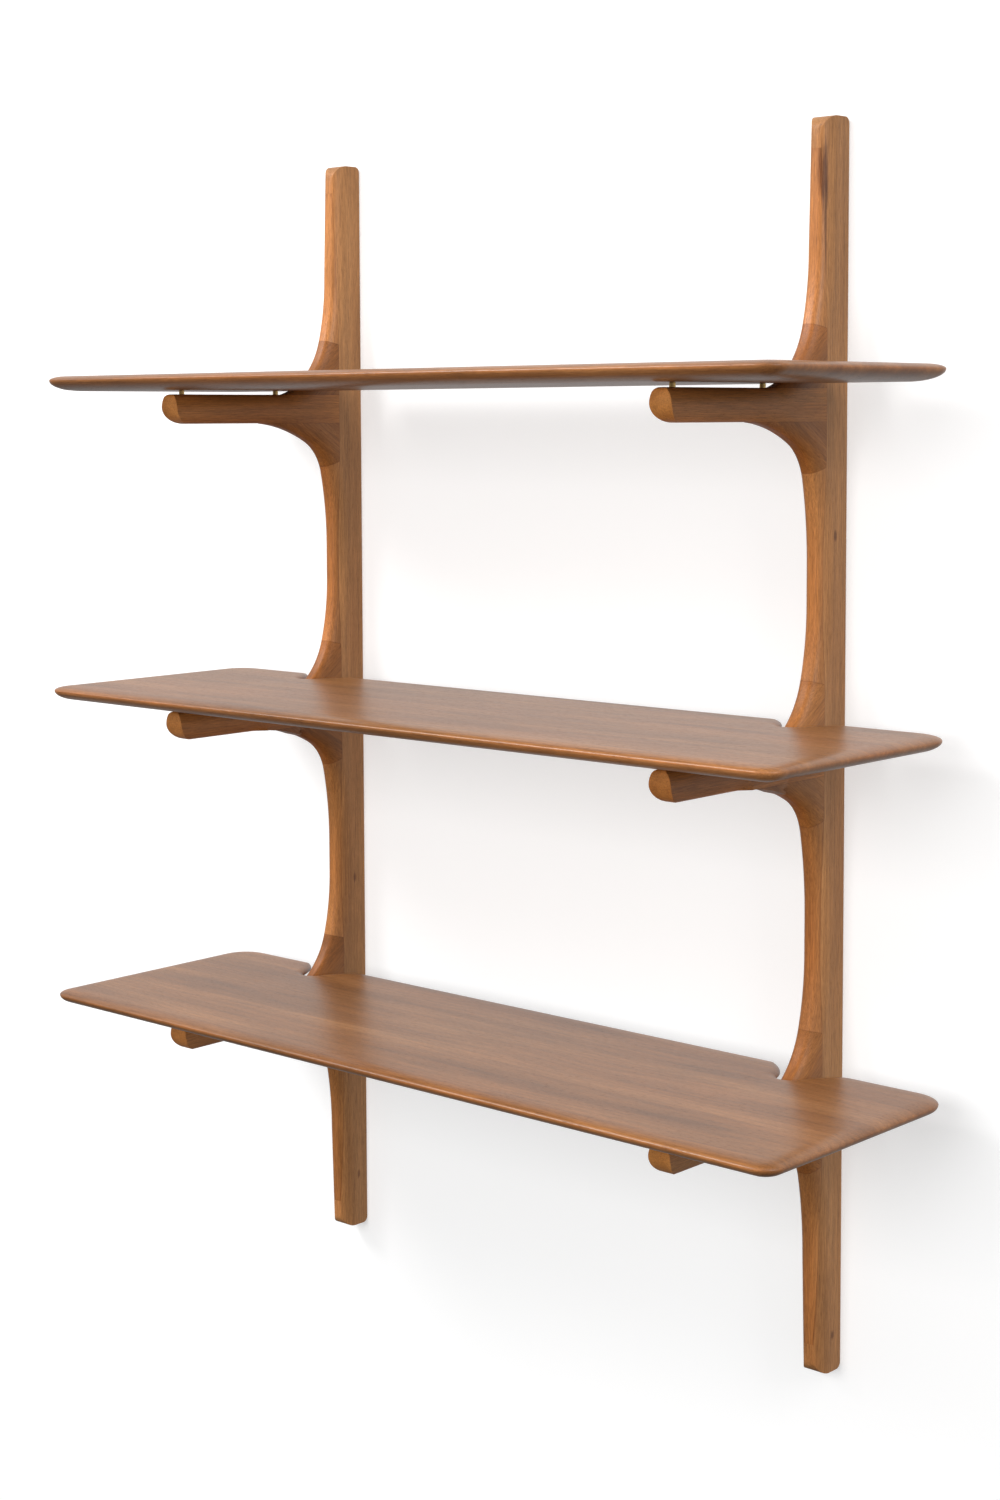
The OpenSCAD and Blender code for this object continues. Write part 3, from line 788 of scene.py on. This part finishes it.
def prism(bm, outline, y0, y1):
    """A straight prism between two distances from the wall, with outline in (x, z)."""
    low = [bm.verts.new((x, y0, z)) for x, z in outline]
    high = [bm.verts.new((x, y1, z)) for x, z in outline]
    bm.faces.new(low)
    bm.faces.new(high[::-1])
    n = len(outline)
    for j in range(n):
        k = (j + 1) % n
        bm.faces.new((low[j], high[j], high[k], low[k]))


def capsule(r, rise, count=20):
    high = [(r * math.cos(a), rise + r * math.sin(a)) for a in steps(0, math.pi, count)]
    low = [(r * math.cos(a), r * math.sin(a)) for a in steps(math.pi, 2 * math.pi, count)]
    return high + low


def cut_recesses(obj):
    bm = bmesh.new()
    for end in (-1, 1):
        z0 = end * HANGER_PITCH / 2
        mid = z0 + SLOT_RISE / 2
        w, h = PLATE_W / 2, PLATE_H / 2
        prism(bm, [(-w, mid - h), (w, mid - h), (w, mid + h), (-w, mid + h)], 1 * MM, -PLATE_T)
        pocket = [(x, z + z0) for x, z in capsule(ENTRY_R + POCKET_ROOM, SLOT_RISE)]
        prism(bm, pocket, -PLATE_T / 2, -POCKET_D)
    tool = finish_mesh("recess_tool", bm)
    cut = obj.modifiers.new("recess", "BOOLEAN")
    cut.operation, cut.solver, cut.object, cut.use_self = "DIFFERENCE", "EXACT", tool, True
    graph = bpy.context.evaluated_depsgraph_get()
    mesh = bpy.data.meshes.new_from_object(obj.evaluated_get(graph))
    obj.modifiers.clear()
    obj.data = mesh
    mesh.set_sharp_from_angle(angle=math.radians(RAIL_SHARP))
    bpy.data.objects.remove(tool)


# ---- Boards
# How much lighter or darker each board is
BOARD_TONE = {"top": 0.0, "middle": 0.02, "bottom": -0.04}


def arc(c, r, a0, a1, n):
    return [(c[0] + r * math.cos(a), c[1] + r * math.sin(a)) for a in steps(a0, a1, n)]


def on_circle(c, r, a):
    """A point of a circle, at an angle from straight out of the wall. A minus r is its far side."""
    return c[0] + r * math.sin(a), c[1] + r * math.cos(a)


def notch_side(inset, inset_n):
    """Right side of a notch, from the lip at the back edge to the floor's middle."""
    out = BOARD_GAP + inset
    floor_c = (0.0, NOTCH_FLOOR - NOTCH_FLOOR_R)
    a = NOTCH_FLANK_A
    reach = NOTCH_FLANK_R + NOTCH_FLOOR_R
    flank_c = (reach * math.sin(a), floor_c[1] + reach * math.cos(a))
    flank_r = NOTCH_FLANK_R - inset_n
    lip_r = max(NOTCH_LIP_R - inset_n, LEAST_R)
    dz = flank_c[1] - out - lip_r
    dx = math.sqrt((flank_r - lip_r) ** 2 - dz * dz)
    lip_c = (flank_c[0] - dx, out + lip_r)
    a0 = math.atan2(dx, dz)
    lip = [on_circle(lip_c, -lip_r, b) for b in steps(0, a0, 8)]
    flank = [on_circle(flank_c, -flank_r, b) for b in steps(a0, a, 10)[1:]]
    floor = [on_circle(floor_c, NOTCH_FLOOR_R + inset_n, b) for b in steps(a, 0, 12)[1:]]
    return lip + flank + floor


def board_outline(inset, inset_n):
    front_r, back_r = max(CORNER_FRONT_R - inset, LEAST_R), max(CORNER_BACK_R - inset, LEAST_R)
    x1, front, back = BOARD_L / 2 - inset, BOARD_GAP + BOARD_D - inset, BOARD_GAP + inset
    half = [(UPRIGHT_X, front)]
    half += arc((x1 - front_r, front - front_r), front_r, math.pi / 2, 0, 16)
    half += arc((x1 - back_r, back + back_r), back_r, 0, -math.pi / 2, 16)
    right = notch_side(inset, inset_n)
    notch = right + [(-x, out) for x, out in reversed(right[:-1])]
    half += [(x + UPRIGHT_X, out) for x, out in notch]
    return half + [(-x, out) for x, out in reversed(half)]


def board(level):
    z0 = LEVEL_Z[LEVELS.index(level)]
    rings = []
    for a in steps(math.pi / 2, 0, 12):
        c = 1 - math.cos(a)
        rings.append((EDGE_TOP_W * c, NOTCH_TOP_W * c, -EDGE_DROP * (1 - math.sin(a))))
    for a in steps(0, math.pi / 2, 14)[1:]:
        c, s = 1 - math.cos(a), math.sin(a)
        straight = NOTCH_STRAIGHT * s + (1 - NOTCH_STRAIGHT) * c
        z = -EDGE_DROP - (BOARD_T - EDGE_DROP) * s
        rings.append((EDGE_UNDER_W * c, NOTCH_UNDER_W * straight, z))
    bm = bmesh.new()
    placed = [[(x, -out, z0 + z) for x, out in board_outline(i, n)] for i, n, z in rings]
    half = len(placed[0]) // 2
    ends = [
        list(range(half)),
        [0, half - 1, half, 2 * half - 1],
        [2 * half - 1] + list(range(half, 2 * half - 1)),
    ]
    loft(bm, placed, ends)
    obj = finish_mesh(f"shelf_board_{level}", bm)
    crest = z0 - EDGE_DROP

    # A painted highlight: a lighter, more orange line along the crest of the board's edge
    def wear_and_highlight(co):
        return math.exp(-abs(co.z - crest) / CREST_HIGHLIGHT)

    write_attributes(obj, grain_of("plank_" + level, X, Y, Z), (), BOARD_TONE[level], wear_and_highlight)
    obj.data.materials.append(board_wood)
    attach(obj, "board_" + level)
    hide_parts("board_" + level)


# ---- Metal pieces
def lathe(bm, profile, centre, count=32):
    """A turned body about a vertical axis, from (radius, z) points."""
    rings = []
    for r, z in profile:
        rings.append([
            bm.verts.new((centre[0] + r * math.cos(a), centre[1] + r * math.sin(a), z))
            for a in steps(0, 2 * math.pi, count)[:-1]
        ])
    for low, high in zip(rings, rings[1:]):
        for j in range(count):
            k = (j + 1) % count
            bm.faces.new((low[j], low[k], high[k], high[j]))
    bm.faces.new(rings[0][::-1])
    bm.faces.new(rings[-1])


STUD_R, SHANK_R, SPIGOT_R = 3 * MM, 2.5 * MM, 2 * MM
STUD_OUT, STUD_DEPTH, SPIGOT_L = (126 * MM, 267 * MM), 14 * MM, 8 * MM
EASE = 0.4 * MM
STUD_SHARP = 25


def studs(level):
    z0 = LEVEL_Z[LEVELS.index(level)]
    seat, under = z0 + ARM_TOP, z0 - BOARD_T
    profile = [
        (SHANK_R - EASE, seat - STUD_DEPTH), (SHANK_R, seat - STUD_DEPTH + EASE), (SHANK_R, seat),
        (STUD_R, seat), (STUD_R, under - EASE), (STUD_R - EASE, under), (SPIGOT_R, under),
        (SPIGOT_R, under + SPIGOT_L - EASE), (SPIGOT_R - EASE, under + SPIGOT_L),
    ]
    bm = bmesh.new()
    for side in SIDES.values():
        for out in STUD_OUT:
            lathe(bm, profile, (side * UPRIGHT_X, -out))
    obj = finish_mesh(f"board_studs_{level}", bm, STUD_SHARP)
    obj.data.materials.append(brass)
    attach(obj, "wall_frame")
    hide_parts("studs_" + level)


def give_material(node, material):
    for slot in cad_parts[node].material_slots:
        slot.material = material


for side in SIDES:
    rail(side)
    strips(side)
    for level in LEVELS:
        upper_flare(side, level)
        lower_flare(side, level)
        arm(side, level)
    for end in ("top", "bottom"):
        give_material(f"hanger_{end}_{side}", steel)
give_material("hanger_screws", steel)
for level in LEVELS:
    board(level)
    studs(level)


# ---- Stage: a white wall and a pale floor, both seen only from their front
def stage_plane(name, corners, tone, glow):
    mesh = bpy.data.meshes.new(name)
    mesh.from_pydata(corners, [], [(0, 1, 2, 3)])
    obj = bpy.data.objects.new(name, mesh)
    bpy.context.scene.collection.objects.link(obj)
    material = bpy.data.materials.new(name)
    material.use_nodes = True
    tree = material.node_tree
    tree.nodes.clear()
    output = tree.nodes.new("ShaderNodeOutputMaterial")
    mix = tree.nodes.new("ShaderNodeMixShader")
    paint = tree.nodes.new("ShaderNodeBsdfPrincipled")
    paint.inputs["Base Color"].default_value = (tone, tone, tone, 1)
    paint.inputs["Roughness"].default_value = 1.0
    paint.inputs["Specular IOR Level"].default_value = 0.0
    paint.inputs["Emission Color"].default_value = (1, 1, 1, 1)
    paint.inputs["Emission Strength"].default_value = glow
    tree.links.new(tree.nodes.new("ShaderNodeNewGeometry").outputs["Backfacing"], mix.inputs[0])
    tree.links.new(paint.outputs[0], mix.inputs[1])
    tree.links.new(tree.nodes.new("ShaderNodeBsdfTransparent").outputs[0], mix.inputs[2])
    tree.links.new(mix.outputs[0], output.inputs["Surface"])
    mesh.materials.append(material)
    obj.visible_diffuse = obj.visible_glossy = obj.visible_shadow = False
    obj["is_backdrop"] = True


WALL_BEHIND = 0.5 * MM
STAGE, FLOOR_Z = 5.0, -1.35


def across_stage(y, z):
    return [(-STAGE, y, z), (STAGE, y, z)]


floor_back = across_stage(WALL_BEHIND, FLOOR_Z)
stage_plane("studio_wall", floor_back + across_stage(WALL_BEHIND, STAGE)[::-1], tone=0.60, glow=0.49)
stage_plane("studio_floor", across_stage(-STAGE, FLOOR_Z) + floor_back[::-1], tone=0.60, glow=0.50)


def area_light(name, place, size, power, mirrored=True):
    """A soft light aimed at the shelf. One that isn't mirrored shows in no reflection."""
    data = bpy.data.lights.new(name, "AREA")
    data.shape = "RECTANGLE"
    data.size, data.size_y = size
    data.energy = power
    obj = bpy.data.objects.new(name, data)
    obj.location = place
    obj.visible_glossy = mirrored
    obj.rotation_mode = "QUATERNION"
    obj.rotation_quaternion = (Vector(LIGHT_AIM) - Vector(place)).to_track_quat("-Z", "Y")
    bpy.context.scene.collection.objects.link(obj)


LIGHT_AIM = (0, -0.1, 0.0)
area_light("key_light", (-2.1, -2.3, 2.4), size=(1.3, 1.3), power=95)
area_light("front_fill", (0.2, -3.1, 0.5), size=(2.2, 1.6), power=60, mirrored=False)
area_light("right_fill", (2.9, -0.9, 1.5), size=(1.0, 1.8), power=36)

# The room is bright above and towards the white wall, and dark below and behind the camera
WALL_SHARE = 0.55
world = bpy.data.worlds.new("studio")
world.use_nodes = True
sky = world.node_tree
direction = sky.nodes.new("ShaderNodeSeparateXYZ")
sky.links.new(sky.nodes.new("ShaderNodeTexCoord").outputs["Generated"], direction.inputs[0])
lift = sky.nodes.new("ShaderNodeMath")
lift.operation = "MULTIPLY_ADD"
lift.inputs[1].default_value = WALL_SHARE
sky.links.new(direction.outputs[1], lift.inputs[0])
sky.links.new(direction.outputs[2], lift.inputs[2])
gradient = sky.nodes.new("ShaderNodeMapRange")
for key, value in (("From Min", -0.7), ("From Max", 0.75), ("To Min", 0.10), ("To Max", 0.95)):
    gradient.inputs[key].default_value = value
sky.links.new(lift.outputs[0], gradient.inputs["Value"])
sky.links.new(gradient.outputs["Result"], sky.nodes["Background"].inputs["Strength"])
sky.nodes["Background"].inputs["Color"].default_value = (1, 1, 1, 1)
bpy.context.scene.world = world
bpy.context.scene.view_settings.view_transform = "Standard"

# ---- Camera
LONG_SIDE = 1500
SENSOR = 36.0
# Focal length and shifts, on an image whose long side is LONG_SIDE
FOCAL_PX = 2425.0
SHIFT_RIGHT, SHIFT_UP = 43.3, -144.3
CAMERA_PLACE = Vector((1.6959, -2.0347, 0.3389))
AZIMUTH, ELEVATION, ROLL = turned(42.597, 4.455, -0.28)
forward = Vector((
    -math.sin(AZIMUTH) * math.cos(ELEVATION),
    math.cos(AZIMUTH) * math.cos(ELEVATION),
    -math.sin(ELEVATION),
))
right = Vector((math.cos(AZIMUTH), math.sin(AZIMUTH), 0))
upward = right.cross(forward)
camera_data = bpy.data.cameras.new("camera")
camera_data.sensor_width = SENSOR
camera_data.lens = FOCAL_PX * SENSOR / LONG_SIDE
camera_data.shift_x, camera_data.shift_y = SHIFT_RIGHT / LONG_SIDE, SHIFT_UP / LONG_SIDE
camera = bpy.data.objects.new("camera", camera_data)
turn = Matrix((right, upward, -forward)).transposed() @ Matrix.Rotation(ROLL, 3, "Z")
camera.matrix_world = Matrix.Translation(CAMERA_PLACE) @ turn.to_4x4()
bpy.context.scene.collection.objects.link(camera)
bpy.context.scene.camera = camera

bpy.context.view_layer.update()
boxes = {"cad": cad_box, "visual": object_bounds()}
{k: [list(corner) for corner in v] for k, v in boxes.items()}
